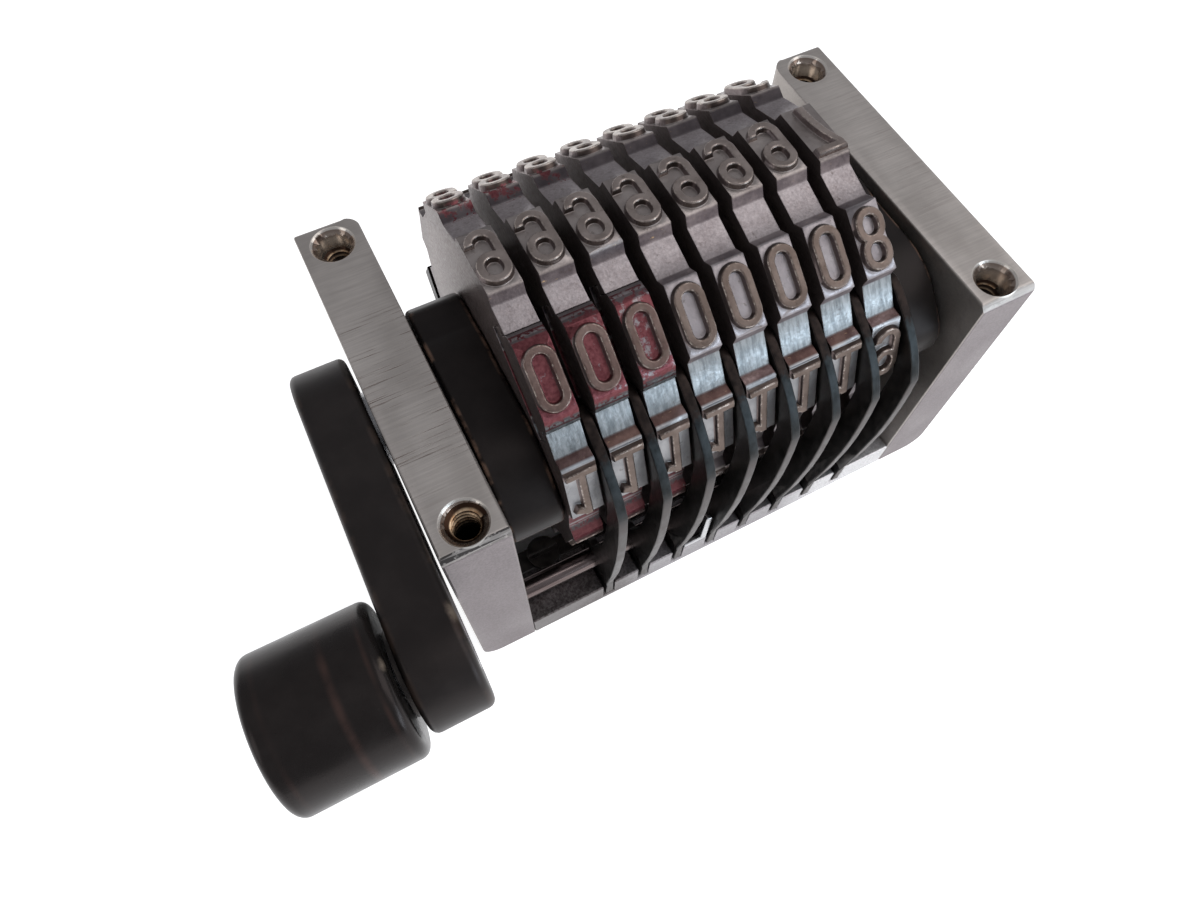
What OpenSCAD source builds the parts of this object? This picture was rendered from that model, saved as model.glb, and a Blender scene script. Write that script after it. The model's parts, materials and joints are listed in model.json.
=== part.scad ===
// Eight-wheel rotary numbering box: type wheels on one shaft between two side plates,
// advanced by a roller arm outside the left plate and held by a row of curved detent levers.
// X runs along the shaft to the units wheel, Y to the rear and Z up. The origin is the middle
// of the four threaded holes in the plates' top edges, straight above the shaft's axis.

/* [Side plates] */
// Length over both side plates
overall_l = 48.6; // [47.6:0.1:52]
// Thickness of each side plate
plate_t = 5; // [4.6:0.1:5.4]
// Side plate, front to rear
plate_depth = 29.7; // [29.2:0.1:32]
// Side plate, height
plate_h = 25.9; // [25.4:0.1:27]
// Height of the shaft's axis over the resting edges
shaft_h = 19.5; // [19.4:0.1:20]
// Radius of the inner upright edge at the rear
rear_edge_r = 1.2; // [0.4:0.1:2]
// Radius of the outer lower edge
foot_edge_r = 1.9; // [0.4:0.1:2]
// Bevel along the front of the top edge
top_bevel = 0.5; // [0.2:0.1:0.8]
// Threaded holes in the top edge, spacing front to rear
thread_spacing = 25.6; // [24:0.1:26]
// Threaded holes, radius of the tapped bore
thread_r = 1.25; // [1:0.05:1.4]
// Threaded holes, depth
thread_depth = 9; // [6:0.5:10]
// Threaded holes, radius of the countersink
thread_sink_r = 1.75; // [1.5:0.05:1.9]

/* [Number wheels] */
// Distance from one wheel to the next
wheel_pitch = 3.6; // [3.5:0.05:3.6]
// Width of a wheel's rim
wheel_w = 2.48; // [2.42:0.02:2.6]
// Distance from the left plate's outer face to the first wheel's middle
first_wheel = 10.8; // [10.8:0.05:11]
// Radius of the flat that carries a figure
platform_r = 14.1; // [13.9:0.05:14.2]
// Half length of that flat
platform_b = 2.55; // [2.4:0.05:2.7]
// Radius of the floor between two flats
floor_r = 13.5; // [13.2:0.05:13.6]
// Half length of that floor
floor_b = 1.26; // [1:0.02:1.4]
// Height of the raised figures
relief = 0.45; // [0.3:0.05:0.5]
// Figure height
figure_h = 4.5; // [4.3:0.02:4.9]
// Figure width
figure_w = 2.3; // [2:0.02:2.36]
// Stroke width of a figure
stroke = 0.58; // [0.4:0.01:0.6]
// Figures at the print line, from the first wheel to the units wheel
shown = [9, 9, 9, 9, 9, 9, 9, 7]; // [0:1:9]

/* [Drop zeros] */
// How far a drop zero sinks to print nothing
drop_travel = 0.8; // [0.4:0.1:1]
// Half length of a drop zero where it enters its wheel
drop_b = 3.4; // [3.2:0.05:3.5]

/* [Shaft and ratchets] */
// Shaft radius
shaft_r = 3; // [2.8:0.1:3.2]
// Radius of the ratchet teeth's crests
crest_r = 9.5; // [9:0.1:9.8]
// Radius at the teeth's roots
root_r = 8.3; // [7.8:0.1:8.5]
// Ratchet thickness
ratchet_t = 1; // [0.8:0.05:1.02]
// Outer radius of the bushes in the side plates
bush_r = 3.7; // [3.5:0.1:3.8]

/* [Detent levers] */
// Lever thickness
lever_t = 0.76; // [0.6:0.02:0.8]
// Lever width at its middle
lever_w = 1.8; // [1.6:0.1:2]
// Radius of the rod that the levers turn on
rod_r = 0.95; // [0.8:0.05:1.1]
// Rod's axis in front of the shaft's axis
rod_y = 12.3; // [12.2:0.1:12.6]
// Rod's axis over the resting edges
rod_h = 5.1; // [5.1:0.05:5.4]
// How far the levers' kink stands in front of the shaft's axis
kink_y = 16.1; // [16:0.1:16.3]

/* [Base bar] */
// Height of the bar
bar_h = 3.2; // [2.8:0.1:3.2]
// Depth of the bar, front to rear
bar_d = 6.4; // [6:0.1:7]
// Width of the slots for the levers' feet
slot_w = 1.1; // [1:0.05:1.2]

/* [Rocker] */
// Thickness of the arm
arm_t = 4.3; // [4:0.1:4.6]
// Arm's radius round the shaft
arm_hub_r = 6; // [5.6:0.1:6.2]
// Arm's radius round the roller pin
arm_tip_r = 4.35; // [4:0.05:4.8]
// Roller pin's axis in front of the shaft's axis
arm_reach = 19.2; // [19:0.1:19.4]
// Roller pin's axis over the shaft's axis
arm_rise = 3.6; // [3.4:0.1:3.8]
// Roller radius
roller_r = 5.25; // [5:0.05:5.4]
// Roller length
roller_l = 8.3; // [8:0.1:8.6]
// Roller pin radius
roller_pin_r = 2; // [1.8:0.1:2.2]
// Distance of the feed pawl's pin from the shaft's axis
feed_reach = 17.4; // [17.3:0.1:17.6]
// Slope of the line to that pin, below level at the rear
feed_slope = 36; // [34:1:37]

/* [Return spring] */
// Wire radius
spring_wire_r = 0.35; // [0.3:0.01:0.35]
// Radius of the coil's centre line
spring_coil_r = 4.4; // [4.3:0.05:4.45]
// Turns
spring_turns = 2.25; // [2:0.25:2.25]
// Distance from turn to turn
spring_pitch = 1.15; // [1.12:0.01:1.2]

/* [Hidden] */
wheels = 8;
stations = 10;
station_angle = 360 / stations;
quarter = 90;
half_turn = 180;
full_turn = 360;
round_fn = 64;
small_fn = 32;
overcut = 0.5; // how far a cutter runs past a face
shaft_z = shaft_h - plate_h; // the shaft's axis in the part's frame
fit_gap = 0.03; // running fit on a shaft or a pin, on the radius
side_gap = 0.06; // running clearance of a sliding piece, each side
face_gap = 0.1; // clearance between faces that turn past each other
tip_gap = 0.15; // clearance of a pawl's or a lever's tip over the ratchets' crests

// Places along the shaft
half_l = overall_l / 2;
plate_in = half_l - plate_t; // inner face of a side plate
front_y = -plate_depth / 2;
function wheel_x(i) = first_wheel - half_l + (i - 1) * wheel_pitch;
function gap_x(i) = wheel_x(i) + wheel_pitch / 2; // middle of the gap right of a wheel
wheels_left = wheel_x(1) - wheel_w / 2;
wheels_right = wheel_x(wheels) + wheel_w / 2 + ratchet_t;

// Threaded holes in the plates' top edges
sink_h = thread_sink_r - thread_r;

// Rocker's cheeks: a thick block either side of the wheels, with a thin yoke plate let into it
yoke_t = 0.6;
yoke_gap = 0.14;
yoke_left_x = wheels_left - face_gap - yoke_t;
yoke_right_x = wheels_right + yoke_gap;
block_gap = 0.22;
block_left_x = -plate_in + block_gap;
block_left_l = yoke_left_x + yoke_t - block_left_x;
block_end_gap = 0.5;
block_right_l = plate_in - block_end_gap - yoke_right_x;
lobe_top = 5.95;
lobe_back = 4.2;
lobe_shoulder = 9.2;
lobe_front = 13.2;
lobe_corner = 1.7;
lobe_low = 0.4;
lobe_round = 3.2;
nose_round = 1.1;
lobe_edge = [-lobe_shoulder, lobe_top];
lobe_nose = [-lobe_front, lobe_corner];
hub_r = 7.4;
under_r = 6.2;

// Feed pawl
feed_y = feed_reach * cos(feed_slope);
feed_z = -feed_reach * sin(feed_slope);
feed_pin_r = 1;
spine_r = 1.95;
spine_left_x = gap_x(1) - lever_t / 2 - face_gap;
spine_right_x = gap_x(wheels) + lever_t / 2;
yoke_hub_r = 5;
yoke_arm_r = 2.3;
feed_tip_r = crest_r + tip_gap;
feed_tip_angle = -74;
feed_tip_w = 0.5;
feed_root_w = 1.3;

// Detent levers
nose_r = crest_r + tip_gap;
nose_angle = 139.5;
eye_r = 1.75;
rod_z = rod_h - shaft_h;

// Roller and its pin
arm_gap = 0.29;
arm_in_x = -half_l - arm_gap;
arm_out_x = arm_in_x - arm_t;
washer_t = 0.3;
washer_gap = 0.08;
roller_in_x = arm_out_x - washer_t - 2 * washer_gap;
roller_out_x = roller_in_x - roller_l;
roller_pocket_r = 3.7;
roller_pocket_d = 1.6;
roller_edge = 0.45;
clip_t = 0.35;
clip_r = 2.9;
groove_d = 0.35;
pocket_floor_x = roller_out_x + roller_pocket_d;
clip_x = pocket_floor_x - washer_gap - washer_t - washer_gap;
pin_inset = 0.5;
pin_end_x = roller_out_x + pin_inset;

// Tie rod and screws
tie_r = 2.5;
tie_y = 10.8;
tie_h = 4.8;
tie_screw_r = 1.5;
tie_head_r = 2.6;
tie_thread = 6;
bar_screw_r = 0.9;
bar_head_r = 1.5;
bar_thread = 2.4;
bar_screw_h = 1.8;
bar_screw_inset = [1.9, 5.1];
head_h = 1.2;
head_sink = 1.25;
screw_slot = 0.4;
stop_r = 1.25;
stop_reach = 12;
spring_leg_r = spring_wire_r + side_gap;

steel = [0.64, 0.62, 0.60];
type_steel = [0.55, 0.52, 0.50];
dark_steel = [0.30, 0.31, 0.34];
black_steel = [0.13, 0.12, 0.12];
bright_steel = [0.75, 0.76, 0.78];
bronze = [0.62, 0.47, 0.28];

drop_zeros = 3;

// Moves a piece that is drawn from the resting edges into the part's frame
module from_base() translate([0, 0, -plate_h]) children();

// Turns a drawing round the shaft's axis into the (Y, Z) plane, extruded along X
module along_x(x = 0) translate([x, 0, shaft_z]) rotate([quarter, 0, quarter]) children();

// A round bar along X, given from the shaft's axis
module bar_x(r, x0, x1, y = 0, z = 0, fn = round_fn)
    translate([x0, y, shaft_z + z]) rotate([0, quarter, 0]) cylinder(r = r, h = x1 - x0, $fn = fn);

// A cone along X
module cone_x(r0, r1, x0, x1, y = 0, z = 0)
    translate([x0, y, shaft_z + z]) rotate([0, quarter, 0])
        cylinder(r1 = r0, r2 = r1, h = x1 - x0, $fn = small_fn);

function spin(p, a) = [p[0] * cos(a) - p[1] * sin(a), p[0] * sin(a) + p[1] * cos(a)];
corner_steps = 4;
curve_steps = 8;
function unit(v) = v / norm(v);
function polar(r, a) = [r * cos(a), r * sin(a)];
function arc(r, a0, a1, steps) = [for (k = [0 : steps]) polar(r, a0 + (a1 - a0) * k / steps)];
function bow(p, q, s, steps) = // points of a curve from p to s that bends towards q
    [for (k = [0 : steps]) let (t = k / steps)
        p * pow(1 - t, 2) + q * 2 * t * (1 - t) + s * pow(t, 2)];

function rounded(p, q, s, d) = // the corner at q between p and s, rounded from d before it
    bow(q + d * unit(p - q), q, q + d * unit(s - q), corner_steps);

// Figures, drawn upright and unmirrored round their middle
module pill(w, h) {
    square([w, h - w], center = true);
    for (s = [-1, 1]) translate([0, s * (h - w) / 2]) circle(r = w / 2, $fn = small_fn);
}

module loop(h, y = 0) translate([0, y]) difference() {
    pill(figure_w, h);
    pill(figure_w - 2 * stroke, h - 2 * stroke);
}

module line(p, q) let (d = q - p)
    translate(p) rotate(atan2(d[1], d[0])) translate([0, -stroke / 2]) square([norm(d), stroke]);

top_y = figure_h / 2;
side_x = figure_w / 2;
mid_x = side_x - stroke / 2;
bowl_h = figure_h * 0.56;
small_loop_h = (figure_h + stroke) / 2;
bowl_y = top_y - bowl_h / 2;

module window(x0, x1, y0, y1) translate([x0, y0]) square([x1 - x0, y1 - y0]);

module one() {
    line([0, -top_y + stroke], [0, top_y]);
    window(-side_x, side_x, -top_y, -top_y + stroke);
    line([-mid_x, top_y - 1.3 * stroke], [0, top_y - stroke / 2]);
}

module two() {
    difference() {
        loop(bowl_h, bowl_y);
        window(-figure_w, figure_w, -top_y, bowl_y - stroke / 2);
        window(-figure_w, 0, -top_y, bowl_y + stroke);
    }
    line([mid_x, bowl_y - stroke / 2], [-mid_x, -top_y + stroke]);
    window(-side_x, side_x, -top_y, -top_y + stroke);
}

module three() difference() {
    eight();
    window(-figure_w, -stroke / 2, -bowl_y - stroke, bowl_y + stroke);
}

module four() {
    line([stroke, -top_y], [stroke, top_y]);
    line([stroke, top_y - stroke / 2], [-mid_x, -bowl_y]);
    window(-side_x, side_x, -bowl_y - stroke, -bowl_y);
}

module five() {
    difference() {
        loop(bowl_h, -bowl_y);
        window(-figure_w, -stroke / 2, -bowl_y - stroke, -bowl_y + stroke);
    }
    window(-side_x, -side_x + stroke, -bowl_y + stroke, top_y);
    window(-side_x, side_x, top_y - stroke, top_y);
}

module six() {
    loop(bowl_h, -bowl_y);
    difference() {
        loop(figure_h);
        window(0, figure_w, -top_y, top_y - 1.8 * stroke);
        window(-figure_w, 0, -top_y, -bowl_y);
    }
}

module seven() {
    window(-side_x, side_x, top_y - stroke, top_y);
    polygon(concat(
        bow([side_x, top_y - stroke], [stroke / 2, 0], [stroke / 2, -top_y], curve_steps),
        bow([-stroke / 2, -top_y], [-stroke / 2, 0], [side_x - stroke, top_y - stroke],
            curve_steps)));
}

module eight() {
    for (s = [-1, 1]) loop(small_loop_h, s * (small_loop_h - stroke) / 2);
}

module nine() rotate(half_turn) six();

module figure(n) {
    if (n == 0) loop(figure_h);
    if (n == 1) one();
    if (n == 2) two();
    if (n == 3) three();
    if (n == 4) four();
    if (n == 5) five();
    if (n == 6) six();
    if (n == 7) seven();
    if (n == 8) eight();
    if (n == 9) nine();
}

function figure_angle(n, i) = quarter + station_angle * (n - shown[i - 1]);

// One figure as raised type, mirrored, its top towards the next station
module type_figure(n, i, sunk) along_x(wheel_x(i)) rotate(figure_angle(n, i))
    translate([platform_r - sunk, 0, 0]) rotate([0, quarter, 0]) mirror([1, 0, 0])
        linear_extrude(relief + sunk) figure(n);

figure_root = 0.15;

module rim_outline() polygon([for (k = [0 : stations - 1])
    let (a = quarter + station_angle * k, b = a + station_angle / 2)
    for (p = [spin([platform_r, -platform_b], a), spin([platform_r, platform_b], a),
              spin([floor_r, -floor_b], b), spin([floor_r, floor_b], b)]) p]);

// Drop zero: a shouldered block with a foot, in a slot of the same form
drop_foot_b = 4.1;
drop_foot_r = 10.9;
drop_neck_r = 11.9;
drop_shoulder_r = 13.35;
drop_gap = 0.06;

module drop_outline() {
    polygon([[drop_neck_r, -drop_b], [drop_shoulder_r, -drop_b], [platform_r, -platform_b],
             [platform_r, platform_b], [drop_shoulder_r, drop_b], [drop_neck_r, drop_b]]);
    translate([drop_foot_r, -drop_foot_b]) square([drop_neck_r - drop_foot_r, 2 * drop_foot_b]);
}

module drop_slot() {
    translate([drop_neck_r - drop_gap, -drop_b - drop_gap])
        square([platform_r, 2 * (drop_b + drop_gap)]);
    translate([drop_foot_r - drop_travel - drop_gap, -drop_foot_b - drop_gap])
        square([drop_neck_r - drop_foot_r + drop_travel + 2 * drop_gap,
                2 * (drop_foot_b + drop_gap)]);
}

module number_wheel(i) color(type_steel) {
    difference() {
        along_x(wheel_x(i) - wheel_w / 2) linear_extrude(wheel_w) difference() {
            rim_outline();
            if (i <= drop_zeros) rotate(figure_angle(0, i)) drop_slot();
        }
        bar_x(shaft_r + fit_gap, wheel_x(i) - wheel_w, wheel_x(i) + wheel_w);
    }
    for (n = [(i <= drop_zeros ? 1 : 0) : stations - 1]) type_figure(n, i, figure_root);
}

module drop_zero(i) color(type_steel) {
    along_x(wheel_x(i) - wheel_w / 2) linear_extrude(wheel_w)
        rotate(figure_angle(0, i)) drop_outline();
    type_figure(0, i, figure_root);
}

tooth_lean = 4;

module ratchet(i) color(dark_steel) difference() {
    along_x(wheel_x(i) + wheel_w / 2) linear_extrude(ratchet_t)
        polygon([for (k = [0 : stations - 1]) let (a = nose_angle - tooth_lean + station_angle * k)
            for (p = [polar(crest_r, a), polar(root_r, a + tooth_lean)]) p]);
    bar_x(shaft_r + fit_gap, wheel_x(i), wheel_x(i) + wheel_pitch);
}

// Side plates. side is -1 for the left plate and 1 for the right plate
module plate_outline() difference() {
    translate([0, front_y]) square([plate_t, plate_depth]);
    translate([0, -front_y - rear_edge_r]) difference() {
        square([rear_edge_r, rear_edge_r + overcut]);
        translate([rear_edge_r, 0]) circle(r = rear_edge_r, $fn = small_fn);
    }
}

module plate_blank() difference() {
    linear_extrude(plate_h) plate_outline();
    // the outer lower edge is rounded
    translate([plate_t - foot_edge_r, 0, 0]) rotate([quarter, 0, 0])
        linear_extrude(plate_depth + 2 * overcut, center = true) difference() {
            translate([0, -overcut]) square([foot_edge_r + overcut, foot_edge_r + overcut]);
            translate([0, foot_edge_r]) circle(r = foot_edge_r, $fn = small_fn);
        }
    // the top edge is bevelled at the front
    translate([plate_t / 2, front_y, plate_h]) rotate([quarter / 2, 0, 0])
        cube([plate_t + overcut, top_bevel * sqrt(2), top_bevel * sqrt(2)], center = true);
}

module top_holes() for (s = [-1, 1]) translate([plate_t / 2, s * thread_spacing / 2, 0]) {
    translate([0, 0, plate_h - thread_depth])
        cylinder(r = thread_r, h = thread_depth + overcut, $fn = round_fn);
    translate([0, 0, plate_h - sink_h])
        cylinder(r1 = thread_r, r2 = thread_sink_r, h = sink_h, $fn = round_fn);
    translate([0, 0, plate_h]) cylinder(r = thread_sink_r, h = overcut, $fn = round_fn);
}

// Holes that run along the shaft, in the plate's own frame with its outer face at plate_t
module side_holes() {
    module hole(r, y, z, x0 = -overcut, x1 = plate_t + overcut)
        translate([x0, y, z]) rotate([0, quarter, 0]) cylinder(r = r, h = x1 - x0, $fn = round_fn);
    module screw_hole(r, head_r, y, z) {
        hole(r + side_gap, y, z);
        hole(head_r + side_gap, y, z, plate_t - head_sink - head_h);
    }
    hole(bush_r, 0, shaft_h);
    hole(rod_r, -rod_y, rod_h);
    screw_hole(tie_screw_r, tie_head_r, tie_y, tie_h);
    for (d = bar_screw_inset) screw_hole(bar_screw_r, bar_head_r, front_y + d, bar_screw_h);
}

module side_plate(side) from_base() mirror([side < 0 ? 1 : 0, 0, 0])
    translate([plate_in, 0, 0]) difference() {
        plate_blank();
        top_holes();
        side_holes();
    }

module left_plate() color(steel) difference() {
    side_plate(-1);
    bar_x(stop_r, -plate_in - stop_sunk, -plate_in + overcut, stop_y, stop_z);
}

module right_plate() color(steel) difference() {
    side_plate(1);
    bar_x(spring_leg_r, plate_in - overcut, plate_in + spring_leg + overcut, 0, spring_coil_r,
          small_fn);
}

module bush(x0) color(bronze) difference() {
    bar_x(bush_r, x0, x0 + plate_t);
    bar_x(shaft_r + fit_gap, x0 - overcut, x0 + plate_t + overcut);
}

slot_floor = 0.8;
slot_back = 4.5;

module base_bar() color(steel) from_base() difference() {
    translate([-plate_in, front_y, 0]) cube([2 * plate_in, bar_d, bar_h]);
    for (i = [1 : wheels]) translate([gap_x(i) - slot_w / 2, front_y - overcut, slot_floor])
        cube([slot_w, slot_back + overcut, bar_h]);
    for (s = [-1, 1], d = bar_screw_inset)
        translate([s * plate_in, front_y + d, bar_screw_h]) rotate([0, -s * quarter, 0])
            translate([0, 0, -overcut])
                cylinder(r = bar_screw_r, h = bar_thread + overcut, $fn = small_fn);
    for (s = [-1, 1]) translate([s * comb_screw_x, front_y + comb_screw_inset, bar_h - comb_thread])
        cylinder(r = comb_screw_r, h = comb_thread + overcut, $fn = small_fn);
}

// A slotted screw along X, its head sunk in a side plate
module side_screw(side, r, head_r, thread, y, z) from_base() mirror([side < 0 ? 1 : 0, 0, 0])
    translate([half_l - head_sink, y, z]) rotate([0, -quarter, 0]) difference() {
        union() {
            cylinder(r = head_r, h = head_h, $fn = small_fn);
            cylinder(r = r, h = plate_t - head_sink + thread, $fn = small_fn);
        }
        cube([screw_slot, 2 * head_r + overcut, head_h], center = true);
    }

module bar_screws() color(dark_steel) for (s = [-1, 1], d = bar_screw_inset)
    side_screw(s, bar_screw_r, bar_head_r, bar_thread, front_y + d, bar_screw_h);

module tie_screws() color(dark_steel) for (s = [-1, 1])
    side_screw(s, tie_screw_r, tie_head_r, tie_thread, tie_y, tie_h);

module rear_tie_rod() color(bright_steel) difference() {
    bar_x(tie_r, -plate_in, plate_in, tie_y, tie_h - shaft_h);
    for (s = [-1, 1]) bar_x(tie_screw_r, s * plate_in - tie_thread - overcut,
                            s * plate_in + tie_thread + overcut, tie_y, tie_h - shaft_h, small_fn);
}

// A flat strip on the bar's third tooth, its right end turned up beside the fourth lever
tab_t = 0.6;
tab_rise = 5;
tab_left_x = gap_x(drop_zeros) + slot_w / 2 + face_gap;
tab_right_x = gap_x(drop_zeros + 1) - slot_w / 2 - face_gap;

module bent_tab() color(bright_steel) from_base() {
    translate([tab_left_x, front_y, bar_h]) cube([tab_right_x - tab_left_x, tab_t, tab_t]);
    translate([tab_right_x - tab_t, front_y, bar_h]) cube([tab_t, tab_t, tab_rise]);
}

// The stop pin carries the left yoke plate's rear arm at rest
stop_sunk = 2.5;
stop_drop = yoke_arm_r + stop_r + face_gap;
stop_y = stop_reach * cos(feed_slope) - stop_drop * sin(feed_slope);
stop_z = -stop_reach * sin(feed_slope) - stop_drop * cos(feed_slope);

module rocker_stop_pin() color(bright_steel)
    bar_x(stop_r, -plate_in - stop_sunk, yoke_left_x + yoke_t, stop_y, stop_z, small_fn);

module detent_rod() color(bright_steel) bar_x(rod_r, -half_l, half_l, -rod_y, rod_z);

// Detent lever: a flat plate with a kink, its nose at the ratchet, its eye on the rod and its
// tail in the bar's slot. Places are given from the shaft's axis, as [rear, up].
nose = polar(nose_r, nose_angle);
nose_w = 0.8;
kink = [-kink_y, 2.4];
shoulder = [-11, 7.9];
foot = [-14.9, -15.4];
belly_pull = [-16.8, -6];
shoulder_pull = [-14.9, 5.6];
head_pull = [-9.2, 9];
inner_kink = kink + [lever_w, -1];
inner_head_pull = [-12.9, 5.7];
inner_belly_pull = [-14.6, -9];
tail_w = 3.3;
tail_foot = 1.3;
eye_edge = [-rod_y + eye_r / 2, rod_z + eye_r / 2];

module lever_outline() difference() {
    union() {
        polygon(concat(
            bow(foot, belly_pull, kink, curve_steps),
            bow(kink, shoulder_pull, shoulder, curve_steps),
            bow(shoulder, head_pull, nose, curve_steps),
            bow(nose - [nose_w, 0], inner_head_pull, inner_kink, curve_steps),
            bow(inner_kink, inner_belly_pull, eye_edge, curve_steps)));
        translate([-rod_y, rod_z]) circle(r = eye_r, $fn = small_fn);
        translate([foot[0], tail_foot - shaft_h]) square([tail_w, foot[1] - tail_foot + shaft_h]);
    }
    translate([-rod_y, rod_z]) circle(r = rod_r + fit_gap, $fn = round_fn);
}

module detent_lever(i) color(dark_steel)
    along_x(gap_x(i) - lever_t / 2) linear_extrude(lever_t) lever_outline();

// Leaf springs behind the levers' tails, in one comb on the base bar
comb_t = 0.3;
comb_screw_r = 0.8;
comb_screw_head_r = 1.5;
comb_screw_head_h = 0.7;
comb_screw_inset = 5.3;
comb_thread = 2.4;
comb_screw_wall = 0.3;
comb_screw_x = plate_in - bar_thread - comb_screw_wall - comb_screw_r;
comb_gap = 0.45;
comb_finger_y = foot[0] + tail_w + comb_gap;
comb_finger_z = 1.6;
comb_front = front_y + slot_back;

module detent_spring_comb() color(dark_steel) from_base() difference() {
    union() {
        translate([-plate_in + overcut, comb_front, bar_h])
            cube([2 * (plate_in - overcut), front_y + bar_d - comb_front, comb_t]);
        for (i = [1 : wheels]) translate([gap_x(i) - lever_t / 2, comb_finger_y, 0]) {
            translate([0, 0, bar_h]) cube([lever_t, comb_front - comb_finger_y + comb_t, comb_t]);
            translate([0, 0, comb_finger_z]) cube([lever_t, comb_t, bar_h - comb_finger_z + comb_t]);
        }
    }
    for (s = [-1, 1]) translate([s * comb_screw_x, front_y + comb_screw_inset, bar_h - overcut])
        cylinder(r = comb_screw_r + fit_gap, h = comb_t + 2 * overcut, $fn = small_fn);
}

module spring_comb_screws() color(steel) from_base() for (s = [-1, 1])
    translate([s * comb_screw_x, front_y + comb_screw_inset, bar_h + comb_t]) difference() {
        union() {
            cylinder(r = comb_screw_head_r, h = comb_screw_head_h, $fn = small_fn);
            translate([0, 0, -comb_t - comb_thread])
                cylinder(r = comb_screw_r, h = comb_t + comb_thread, $fn = small_fn);
        }
        translate([0, 0, comb_screw_head_h])
            cube([2 * comb_screw_head_r, screw_slot, screw_slot], center = true);
    }

// Rocker: blocks with a flat top and a bevelled front lobe, pinned to the shaft
module lobe_outline() {
    circle(r = under_r, $fn = round_fn);
    intersection() {
        circle(r = hub_r, $fn = round_fn);
        translate([-hub_r, -hub_r]) square([2 * hub_r, hub_r + lobe_top]);
    }
    polygon(concat([[lobe_back, lobe_top]],
        rounded([0, lobe_top], lobe_edge, lobe_nose, lobe_round),
        rounded(lobe_edge, lobe_nose, [-lobe_front, -lobe_low], nose_round),
        [[-lobe_front, -lobe_low], [0, -under_r]]));
}

// Yoke plate: a ring round the shaft and a rear arm to the feed pawl's pin
module yoke_outline(extra = 0) {
    circle(r = yoke_hub_r + extra, $fn = round_fn);
    rotate(-feed_slope) {
        translate([0, -yoke_arm_r - extra]) square([feed_reach, 2 * (yoke_arm_r + extra)]);
        translate([feed_reach, 0]) circle(r = yoke_arm_r + extra, $fn = round_fn);
    }
}

module yoke_recess(x0) along_x(x0) linear_extrude(yoke_t + overcut) yoke_outline(fit_gap);

module left_block() color(black_steel) difference() {
    along_x(block_left_x) linear_extrude(block_left_l) lobe_outline();
    bar_x(shaft_r, -plate_in, yoke_left_x + overcut);
    yoke_recess(yoke_left_x);
}

spring_room_r = 5.1;
spring_boss_r = 3.6;
spring_wall = 0.7;
spring_room_x = yoke_right_x + yoke_t + spring_wall;

module right_block() color(black_steel) difference() {
    along_x(yoke_right_x) linear_extrude(block_right_l) lobe_outline();
    bar_x(shaft_r, yoke_right_x, plate_in);
    yoke_recess(yoke_right_x - overcut);
    difference() {
        bar_x(spring_room_r, spring_room_x, plate_in);
        bar_x(spring_boss_r, spring_room_x - overcut, plate_in + overcut);
    }
}

// The left yoke plate's lug, which stands up behind the first wheel's rim
lug_t = 0.5;
lug_gap = 0.65;
lug_w = 2;
lug_top_angle = -10;
lug_bevel_angle = 7;
lug_in_r = platform_r + relief + lug_gap;

module lug_outline() polygon(concat(
    arc(lug_in_r, -feed_slope, lug_top_angle, curve_steps),
    arc(lug_in_r + lug_w, lug_top_angle - lug_bevel_angle, -feed_slope, curve_steps)));

module yoke_plate(x0, lug = false) color(dark_steel) difference() {
    union() {
        along_x(x0) linear_extrude(yoke_t) yoke_outline();
        if (lug) along_x(x0 + yoke_t) linear_extrude(lug_t) lug_outline();
    }
    bar_x(shaft_r, x0 - overcut, x0 + yoke_t + overcut);
    bar_x(feed_pin_r, x0 - overcut, x0 + yoke_t + lug_t + overcut, feed_y, feed_z);
}

thrust_r = 3.8;

module thrust_washer() color(bronze) difference() {
    bar_x(thrust_r, plate_in - face_gap - washer_t, plate_in - face_gap);
    bar_x(shaft_r + fit_gap, plate_in - plate_t, plate_in);
}

module feed_pin() color(bright_steel)
    bar_x(feed_pin_r, yoke_left_x, yoke_right_x + yoke_t, feed_y, feed_z);

// Feed pawl: a spine on the pin with one finger in the gap right of each wheel
module finger_outline() let (tip = polar(feed_tip_r, feed_tip_angle), root = [feed_y, feed_z])
    polygon([tip, tip + [feed_tip_w, 0], root + [0, feed_root_w],
             root - [0, feed_root_w], tip + [2 * feed_tip_w, -feed_tip_w]]);

module feed_pawl() color(dark_steel) difference() {
    union() {
        bar_x(spine_r, spine_left_x, spine_right_x, feed_y, feed_z);
        for (i = [1 : wheels])
            along_x(gap_x(i) - lever_t / 2) linear_extrude(lever_t) finger_outline();
    }
    bar_x(feed_pin_r + fit_gap, spine_left_x - overcut, spine_right_x + overcut, feed_y, feed_z);
}

// A tube of six sides swept along points, each ring square to the path
tube_sides = 6;
ring_steps = 8;

function path_dir(p, k) = unit(p[min(k + 1, len(p) - 1)] - p[max(k - 1, 0)]);
function tube_points(p, r) = [for (k = [0 : len(p) - 1])
    let (d = path_dir(p, k), up = abs(d[0]) > abs(d[1]) + abs(d[2]) ? [0, 0, 1] : [1, 0, 0],
         u = unit(cross(d, up)), v = cross(d, u))
    for (s = [0 : tube_sides - 1]) p[k] + r * (u * cos(full_turn / tube_sides * s)
        + v * sin(full_turn / tube_sides * s))];

module tube(p, r) {
    n = tube_sides;
    last = (len(p) - 1) * n;
    polyhedron(points = tube_points(p, r), faces = concat(
        [[for (s = [0 : n - 1]) n - 1 - s]],
        [for (k = [0 : len(p) - 2], s = [0 : n - 1]) let (t = (s + 1) % n)
            [k * n + s, k * n + t, (k + 1) * n + t, (k + 1) * n + s]],
        [[for (s = [0 : n - 1]) last + s]]), convexity = n);
}

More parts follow.
